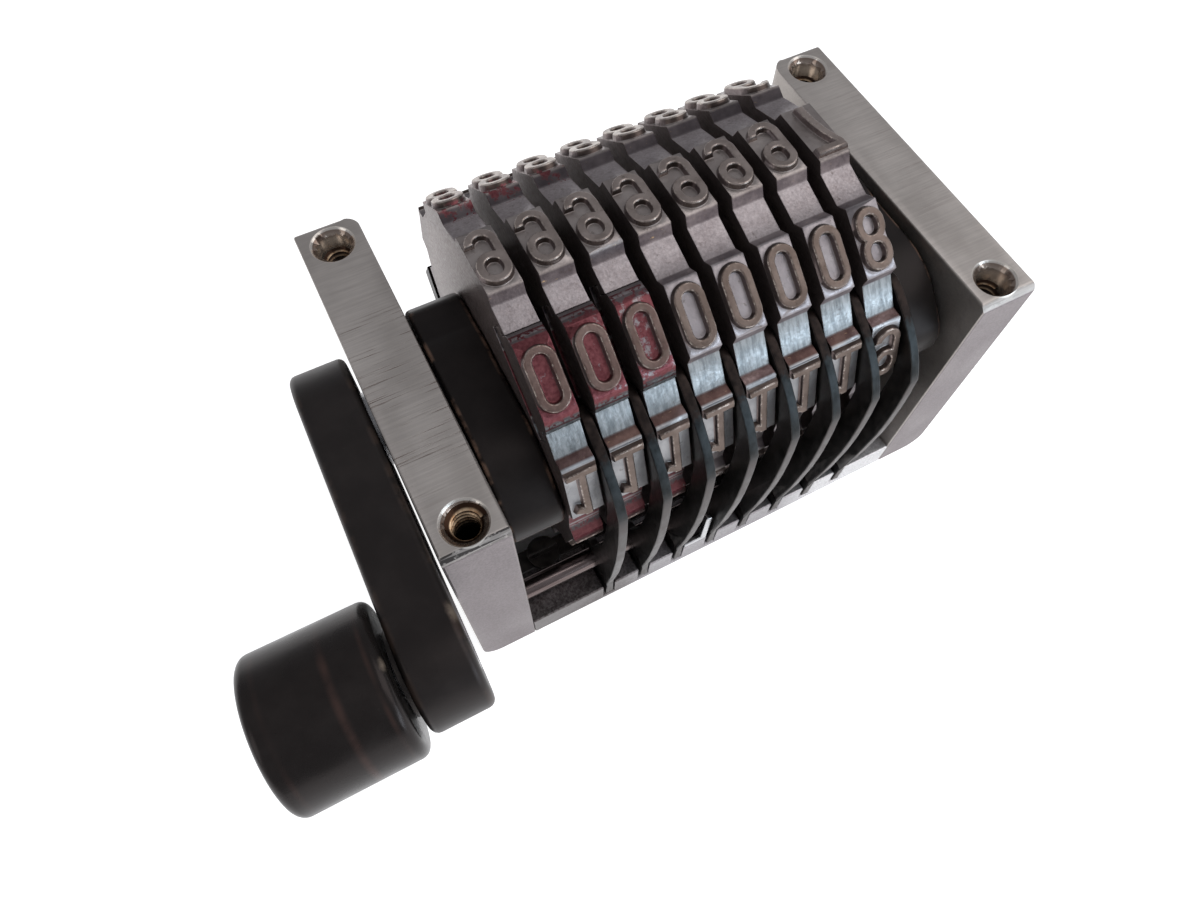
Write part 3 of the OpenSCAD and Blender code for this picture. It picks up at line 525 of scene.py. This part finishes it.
def type_steel(name, seed, reds):
    """Number wheel: brownish figures, grey flats, dark flanks, light floors and red ink, with
    painted reflections and highlights on some rows and painted shade on the figures' walls.
    """
    look = Look(name)
    height, along, angle = station_frame(look)
    side = look.math("ABSOLUTE", along)
    cloud = look.noise(1.6 * MM, detail=5, seed=seed)
    fine = look.noise(0.22 * MM, seed=seed + 20)
    streak = look.noise(0.3 * MM, stretch=(1, 5, 5), detail=5, rough=0.65, seed=seed + 10)
    speck = look.noise(0.18 * MM, detail=5, rough=0.7, seed=seed + 12)
    scratch = look.noise(0.2 * MM, stretch=(1, 7, 1), detail=5, rough=0.7, seed=seed + 15)
    grime = look.noise(0.5 * MM, detail=6, rough=0.7, seed=seed + 30)
    glint = look.noise(0.16 * MM, stretch=(3, 1, 1), detail=5, rough=0.7, seed=seed + 35)
    blot = look.noise(0.8 * MM, detail=6, rough=0.68, seed=seed + 40)
    tone = look.fade(cloud, *SOFT)

    def toned(pair):
        return look.mix(tone, *pair)

    def row(turns):
        return near_row(look, angle, ZERO_ROW + turns * STATION, HALF_FLAT)

    # Painted light by row: a bluish painted reflection on the first floor and the 1 flats, the 9
    # tops painted lighter and painted glints on the 8 tops
    one = row(1)
    speckled = look.math("MULTIPLY_ADD", tone, 0.5, look.times(look.fade(speck, *CRISP), 0.5))
    first_floor = near_row(look, angle, ZERO_ROW + 0.5 * STATION, HALF_FLOOR)
    floor = look.mix(first_floor, look.mix(speckled, *FLOOR),
                     look.mix(look.fade(streak, *CRISP), *FLOOR_WINDOW_REFLECTION))
    flat = look.mix(row(0), toned(FLAT), toned(ZERO_FLAT))
    flat = look.mix(one, flat, toned(ONE_FLAT_REFLECTION))
    top = look.mix(row(-1), toned(TOP), toned(NINE_TOP_LIT))
    top = look.mix(row(-2), top, toned(EIGHT_TOP_GLINT))
    flank = look.mix(one, toned(FLANK), toned(ONE_FLANK))

    # From the flat up to the figure's top, with the walls in painted shade, then outwards over the
    # flank to the floor
    def above(low, high):
        return look.fade(height, PLATFORM_R + low * RELIEF, PLATFORM_R + high * RELIEF)

    colour = look.mix(above(0.02, 0.12), flat, toned(WALL_SHADE))
    colour = look.mix(above(0.7, 0.95), colour, top)
    colour = look.mix(look.fade(side, PLATFORM_B, PLATFORM_B + 0.1 * MM), colour, flank)
    colour = look.mix(look.fade(side, FLOOR_T - 0.06 * MM, FLOOR_T + 0.06 * MM), colour, floor)

    # The wheel's flat sides, darker near the rim
    low = look.fade(height, PLATFORM_R - 2.2 * MM, PLATFORM_R - 1.2 * MM)
    ends = look.fade(look.split(look.vector("ABSOLUTE", look.normal()))[0], *FACING)
    face = look.mix(look.fade(scratch, *CRISP), *FACE)
    colour = look.mix(ends, colour, look.mix(low, face, look.mix(0.3, face, flank)))

    # Grime, and painted golden glints on the flanks
    colour = look.mix(look.times(look.fade(grime, 0.56, 0.72), 0.6), colour, GRIME)
    on_flank = look.times(look.fade(side, PLATFORM_B - 0.2 * MM, PLATFORM_B),
                          look.fade(side, FLOOR_T, FLOOR_T - 0.1 * MM, last=0.7))
    colour = look.mix(look.times(look.fade(glint, 0.62, 0.72), on_flank), colour, GOLD_GLINT)

    # Red ink, but not on the wheel's sides, the drop zero's joint or specks at the floor's edge
    strip = look.times(look.fade(look.distance(side, FLOOR_T), 0.22 * MM, 0.1 * MM),
                       look.fade(fine, 0.42, 0.5))
    inked = look.times(look.fade(look.distance(side, DROP_B), 0.1 * MM, 0.22 * MM),
                       look.math("SUBTRACT", 1.0, strip), look.math("SUBTRACT", 1.0, ends))
    ink = look.mix(look.fade(fine, *SOFT), *INK)
    thin = look.fade(height, PLATFORM_R + 0.7 * RELIEF, PLATFORM_R + 0.2 * RELIEF, 0.18, 1.0)
    for place, half, share in reds:
        start = BLOT_START - share * BLOT_SPAN
        stain = look.times(look.fade(blot, start, start + 0.1), near_row(look, angle, place, half))
        colour = look.mix(look.times(stain, inked, thin), colour, ink)

    wear = look.times(look.worn(0.3 * MM, detail=5), 0.6)
    colour = look.mix(wear, colour, WORN_TYPE)
    rough = look.math("SUBTRACT", look.fade(fine, *SOFT, 0.3, 0.46), look.times(wear, 0.2))
    look.relief(look.math("ADD", cloud, look.times(fine, 0.8)), depth=0.02 * MM,
                round_radius=0.1 * MM)
    return look.finish(colour, metallic=0.85, roughness=rough)


def dress(names, material):
    for name in names:
        slots = nodes[name].material_slots
        for slot in slots:
            slot.material = material
        if not slots:
            nodes[name].data.materials.append(material)


ARM_SPOT = Vector((arm_high[0] - 0.15 * MM, -18.3 * MM, 1.2 * MM))
ROLLER_SPOT = Vector((roller_high[0] - 0.15 * MM, -19.6 * MM, 2.1 * MM))
# Share of the roller's length from its right end, half width and strength
ROLLER_RINGS = ((0.38, 0.4 * MM, 0.7), (0.86, 0.3 * MM, 0.25), (0.1, 0.25 * MM, 0.4))
rings = [(roller_high[0] - share * (roller_high[0] - roller_low[0]), width, strength)
         for share, width, strength in ROLLER_RINGS]

dress(["left_plate"], ground_steel("ground_steel_left", scratches=0.9, centre=-1.5 * MM))
dress(["right_plate"], ground_steel("ground_steel_right", scratches=0.25, centre=3 * MM))
dress(["left_bush", "right_bush", "thrust_washer"], bronze())
dress(["base_bar"], bar_steel())
dress(["detent_rod"], rod_steel())
dress(["bent_tab", "rear_tie_rod", "rocker_stop_pin", "return_spring", "wheel_shaft", "feed_pin",
       "feed_pawl_spring", "arm_pin", "roller_pin"], bright_steel())
dress(["bar_screws", "tie_screws", "spring_comb_screws", "detent_spring_comb", "roller_clip",
       "roller_washers", "feed_pawl", *numbered("ratchet")], dark_steel())
dress(["left_block", "right_block"],
      blued_steel("blued_block", gloss=0.34, wear=0.9, shine=0.18))
dress(["swing_arm"],
      blued_steel("blued_arm", gloss=0.36, wear=0.12, shine=0.3, spots=[(ARM_SPOT, 0.9 * MM)]))
dress(["left_yoke_plate", "right_yoke_plate"],
      blued_steel("blued_yoke", gloss=0.36, wear=0.12, shine=0.3))
dress(numbered("detent_lever"), lever_steel())
dress(["roller"], blued_steel("blued_roller", gloss=0.24, wear=0.1, shine=0.25, rings=rings,
                              spots=[(ROLLER_SPOT, 0.55 * MM)]))

# Red ink: the middle and half width of each place round the shaft, and its share on each wheel.
# The places are the 0 flat, the stretch from the 1 flat into the 2 flat, and the 8 flat.
RED_PLACES = ((ZERO_ROW, HALF_FLAT), (ZERO_ROW + 1.62 * STATION, 0.2),
              (ZERO_ROW - 2 * STATION, HALF_FLAT))
RED_SHARES = {1: (0.95, 0.95, 0.6), 2: (0.88, 0.95, 0.6), 3: (0.72, 0.85, 0.5),
              4: (0.12, 0.3, 0.0)}
FIRST_SEED = 50
SEED_STEP = 3

for i in range(1, WHEELS + 1):
    reds = [(row, half, share)
            for (row, half), share in zip(RED_PLACES, RED_SHARES.get(i, ())) if share]
    wheel_look = type_steel(f"type_steel_{i}", FIRST_SEED + SEED_STEP * i, reds)
    dress([f"number_wheel_{i}"], wheel_look)
    if i <= DROP_ZEROS:
        dress([f"drop_zero_{i}"], wheel_look)


# Rounded copies of the solids whose worn edges show

bodies = {name: body for body, names in frame["record"]["behaviour"]["bodies"].items()
          for name in names}
WELD = 0.003 * MM
FLATNESS = math.radians(2)
SHARP = math.radians(30)
FLAT_SHADED = math.radians(15)
SMOOTH_SHADED = math.radians(40)


def solid_mesh(name):
    """A CAD solid's mesh, welded, with its flat faces joined."""
    mesh = bmesh.new()
    mesh.from_mesh(nodes[name].data)
    bmesh.ops.remove_doubles(mesh, verts=mesh.verts[:], dist=WELD)
    bmesh.ops.dissolve_limit(mesh, angle_limit=FLATNESS, verts=mesh.verts[:],
                             edges=mesh.edges[:])
    bmesh.ops.recalc_face_normals(mesh, faces=mesh.faces[:])
    return mesh


def stand_in(name, mesh, soft=SMOOTH_SHADED):
    """Makes the mesh a piece that stands for the node and rides on its body."""
    data = bpy.data.meshes.new(f"{name}_round")
    for face in mesh.faces:
        face.smooth = True
    mesh.to_mesh(data)
    mesh.free()
    data.set_sharp_from_angle(angle=soft)
    data.materials.append(nodes[name].material_slots[0].material)
    piece = add_object(f"{name}_round", data)
    if soft > SHARP:
        weigh = piece.modifiers.new("normals", "WEIGHTED_NORMAL")
        weigh.keep_sharp = True
    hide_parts(name)
    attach(piece, bodies[name])


def rounded(name, width, steps, keep, mesh=None, soft=SMOOTH_SHADED):
    """Rounds the outward edges of a node that keep() picks by middle and length."""
    mesh = mesh or solid_mesh(name)
    picked = [edge for edge in mesh.edges if edge.is_manifold and edge.is_convex
              and edge.calc_face_angle(0) > SHARP
              and keep((edge.verts[0].co + edge.verts[1].co) / 2, edge.calc_length())]
    made = bmesh.ops.bevel(mesh, geom=picked, offset=width, offset_type="OFFSET", segments=steps,
                           profile=0.5, affect="EDGES", clamp_overlap=False)
    fresh = set(made["faces"])
    worn = mesh.verts.layers.float.new("worn")
    for vert in mesh.verts:
        around = vert.link_faces
        vert[worn] = 1.0 if around and all(face in fresh for face in around) else 0.0
    stand_in(name, mesh, soft)


def from_axis(place, axis):
    """Distance from a line along X through the given point."""
    return math.hypot(place[1] - axis[1], place[2] - axis[2])


# Widths and steps of the roundings
ARM_ROUND = (0.55 * MM, 4)
BLOCK_ROUND = (0.35 * MM, 3)
PLATE_ROUND = (0.16 * MM, 2)
BAR_ROUND = (0.14 * MM, 2)
THIN_ROUND = (0.1 * MM, 2)
# Edges nearer than these to the axis of the shaft, the roller's pin or the rod stay sharp
ARM_HUB_R = 3.5 * MM
ARM_TIP_R = 2.6 * MM
BLOCK_HUB_R = 5.6 * MM
LEVER_HUB_R = 1.1 * MM
# Edges shorter than these stay sharp, apart from those on the plates' front and rear faces
ARM_LENGTH = 0.3 * MM
PLATE_LENGTH = 1 * MM
BAR_LENGTH = 0.5 * MM
# The blocks' edges stay sharp where they are both behind and below these
BLOCK_REAR = 3 * MM
BLOCK_LOW = shaft[2] + 1 * MM
TOUCH = 0.01 * MM

rounded("swing_arm", *ARM_ROUND, lambda at, length: length > ARM_LENGTH
        and from_axis(at, shaft) > ARM_HUB_R and from_axis(at, pin) > ARM_TIP_R)
for name in ("left_block", "right_block"):
    rounded(name, *BLOCK_ROUND, lambda at, length: from_axis(at, shaft) > BLOCK_HUB_R
            and (at[1] < BLOCK_REAR or at[2] > BLOCK_LOW))
for name in ("left_plate", "right_plate"):
    low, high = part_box(name)
    rounded(name, *PLATE_ROUND, lambda at, length: length > PLATE_LENGTH
            or min(at[1] - low[1], high[1] - at[1]) < TOUCH, soft=FLAT_SHADED)
rounded("base_bar", *BAR_ROUND, lambda at, length: length > BAR_LENGTH, soft=FLAT_SHADED)
rounded("bent_tab", *THIN_ROUND, lambda at, length: True)
for name in numbered("detent_lever"):
    rounded(name, *THIN_ROUND, lambda at, length: from_axis(at, rod) > LEVER_HUB_R)

# Type: the walls lean out to their feet and the edges of the faces are rounded

DRAFT = 0.085 * MM
TYPE_ROUND = (0.12 * MM, 3)
LEVEL = 0.02 * MM
LEAST_COSINE = 0.5


def rim_height(place):
    """Height over the shaft's axis, square to the nearest flat."""
    y, z = place[1] - shaft[1], place[2] - shaft[2]
    angle = math.atan2(z, y) - math.pi / 2
    off = angle - round(angle / STATION) * STATION
    return math.hypot(y, z) * math.cos(off)


def lean(mesh):
    """Moves the feet of the figures' walls outwards by the draft."""
    moves = []
    for vert in mesh.verts:
        if abs(rim_height(vert.co) - PLATFORM_R) > LEVEL:
            continue
        walls = [face.normal for face in vert.link_faces
                 if abs(rim_height(face.calc_center_median()) - PLATFORM_R - RELIEF / 2)
                 < RELIEF / 4]
        if walls:
            way = sum(walls, Vector()).normalized()
            moves.append((vert, way * DRAFT / max(LEAST_COSINE, way.dot(walls[0]))))
    for vert, move in moves:
        vert.co += move


for name in (*numbered("number_wheel"), *numbered("drop_zero", DROP_ZEROS)):
    wheel = solid_mesh(name)
    lean(wheel)
    rounded(name, *TYPE_ROUND,
            lambda at, length: rim_height(at) > PLATFORM_R + RELIEF - LEVEL, wheel)


# The roller, turned with round ends and a pocket in its left end

ROLLER_R = 5.25 * MM
ROLLER_ROUND = 0.65 * MM
POCKET_R = 3.7 * MM
POCKET_DEPTH = 1.6 * MM
BORE_R = 2.03 * MM
LIP = 0.2 * MM
ROUND_STEPS = 6
TURN_STEPS = 96


def turned(name, profile, axis):
    """A closed profile of (x, radius) points turned round a line along X."""
    mesh = bmesh.new()
    rows = []
    for k in range(TURN_STEPS):
        angle = math.tau * k / TURN_STEPS
        y, z = math.cos(angle), math.sin(angle)
        rows.append([mesh.verts.new((x, axis[1] + r * y, axis[2] + r * z)) for x, r in profile])
    for k, row in enumerate(rows):
        after = rows[(k + 1) % TURN_STEPS]
        for a in range(len(profile)):
            b = (a + 1) % len(profile)
            mesh.faces.new((row[a], row[b], after[b], after[a]))
    bmesh.ops.recalc_face_normals(mesh, faces=mesh.faces[:])
    stand_in(name, mesh)


left_x, right_x = roller_low[0], roller_high[0]
pocket_x = left_x + POCKET_DEPTH
quarter = [math.pi / 2 * k / ROUND_STEPS for k in range(ROUND_STEPS + 1)]
outer_left = [(left_x + ROLLER_ROUND * (1 - math.cos(a)),
               ROLLER_R - ROLLER_ROUND * (1 - math.sin(a))) for a in quarter]
outer_right = [(left_x + right_x - x, r) for x, r in reversed(outer_left)]
turned("roller", [(right_x, BORE_R), (pocket_x, BORE_R), (pocket_x, POCKET_R),
                  (left_x + LIP, POCKET_R), (left_x, POCKET_R + LIP),
                  *outer_left, *outer_right], pin)


# Threads in the plates' top edges. The left front one runs up into the countersink.

THREAD_PITCH = 0.5 * MM
THREAD_STEPS = 32
THREAD_END = 7 * MM
THREAD_START = 1.7 * MM
LONG_START = 0.16 * MM
FOOT_H = 0.01 * MM
# The ridge's section: share of the pitch and height over the wall
RIDGE = ((0.0, FOOT_H), (0.45, THREAD_H), (0.9, FOOT_H))


def thread(name, place, start):
    """A helical ridge on the wall of a tapped hole and its countersink, from start down."""
    mesh = bmesh.new()
    sections = []
    for k in range(int((THREAD_END - start) / THREAD_PITCH * THREAD_STEPS) + 1):
        angle = math.tau * k / THREAD_STEPS
        way = Vector((math.cos(angle), math.sin(angle), 0))
        section = []
        for share, inward in RIDGE:
            depth = start + THREAD_PITCH * (k / THREAD_STEPS + share)
            root = max(HOLE_R, SINK_R - depth)
            point = place + way * (root - inward) + Vector((0, 0, -depth))
            section.append(mesh.verts.new(point))
        sections.append(section)
    for a, b in zip(sections, sections[1:]):
        for s in range(len(RIDGE)):
            t = (s + 1) % len(RIDGE)
            mesh.faces.new((a[s], b[s], b[t], a[t]))
    mesh.faces.new(sections[0])
    mesh.faces.new(sections[-1][::-1])
    data = bpy.data.meshes.new(name)
    mesh.to_mesh(data)
    mesh.free()
    return add_object(name, data)


thread_look = thread_steel()
for side_name, x in (("left", -HOLE_X), ("right", HOLE_X)):
    for end_name, y in (("front", -HOLE_Y), ("rear", HOLE_Y)):
        start = LONG_START if (side_name, end_name) == ("left", "front") else THREAD_START
        ridge = thread(f"thread_{side_name}_{end_name}", Vector((x, y, 0)), start)
        ridge.data.materials.append(thread_look)
        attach(ridge, "frame")


# Floor: white to the camera and in reflections, except well inside the box's footprint, where the
# glow is masked off as a painted shadow

FLOOR_SIZE = 3.0
FLOOR_GLOW = 0.75
FLOOR_PAPER = (0.8, 0.8, 0.8, 1)
SHADE_DEPTH = 5 * MM

floor_mesh = bpy.data.meshes.new("floor")
floor_corners = [(x * FLOOR_SIZE, y * FLOOR_SIZE, floor_z)
                 for x, y in ((-1, -1), (1, -1), (1, 1), (-1, 1))]
floor_mesh.from_pydata(floor_corners, [], [(0, 1, 2, 3)])
floor = add_object("floor", floor_mesh)


def inside(look, value, low, high):
    """1 where the value lies well between low and high, and 0 outside them."""
    half = (high - low) / 2
    return look.fade(look.distance(value, (low + high) / 2), half, half - SHADE_DEPTH)


def white_floor():
    look = Look("floor_look", shader="ShaderNodeAddShader")
    foot_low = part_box("left_plate")[0]
    foot_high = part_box("right_plate")[1]
    x, y, _ = look.split(look.place)
    shaded = look.times(inside(look, x, foot_low[0], foot_high[0]),
                        inside(look, y, foot_low[1], foot_high[1]))
    lit = look.math("SUBTRACT", FLOOR_GLOW, look.times(shaded, FLOOR_GLOW))
    rays = look.add("ShaderNodeLightPath").outputs
    shown = look.math("ADD", rays["Is Camera Ray"], rays["Is Glossy Ray"])
    shown = look.math("ADD", shown, rays["Is Transmission Ray"])
    paper = look.add("ShaderNodeBsdfDiffuse")
    look.put(paper.inputs["Color"], FLOOR_PAPER)
    glow = look.add("ShaderNodeEmission")
    look.put(glow.inputs["Strength"], look.times(shown, lit))
    look.put(look.surface.inputs[0], paper.outputs[0])
    look.put(look.surface.inputs[1], glow.outputs[0])
    return look.material


floor_mesh.materials.append(white_floor())

# World and lamps

SKY = (0.93, 0.95, 1.0, 1)
SKY_STRENGTH = 0.42

world = bpy.data.worlds.new("world")
bpy.context.scene.world = world
world.use_nodes = True
sky = world.node_tree.nodes["Background"].inputs
sky["Color"].default_value = SKY
sky["Strength"].default_value = SKY_STRENGTH


def lamp(name, way, distance, size, power, colour):
    """A lamp in the given direction, turned towards the middle of the part."""
    light = bpy.data.lights.new(name, "AREA")
    light.shape = "RECTANGLE"
    light.size, light.size_y = size
    light.energy = power
    light.color = colour
    place = Vector(way).normalized()
    item = add_object(name, light)
    item.location = shaft + place * distance
    item.rotation_euler = place.to_track_quat("Z", "Y").to_euler()


lamp("window", way=(0.5, -0.84, 0.22), distance=0.6, size=(0.36, 0.16), power=1.15,
     colour=(0.74, 0.88, 1.0))
lamp("ceiling", way=(0.58, -0.26, 0.77), distance=0.7, size=(0.6, 0.72), power=2.1,
     colour=(1.0, 0.97, 0.96))
lamp("side", way=(-0.9, -0.2, 0.5), distance=0.7, size=(0.3, 0.5), power=0.55,
     colour=(1.0, 0.98, 0.96))

bpy.context.scene.view_settings.view_transform = "Standard"
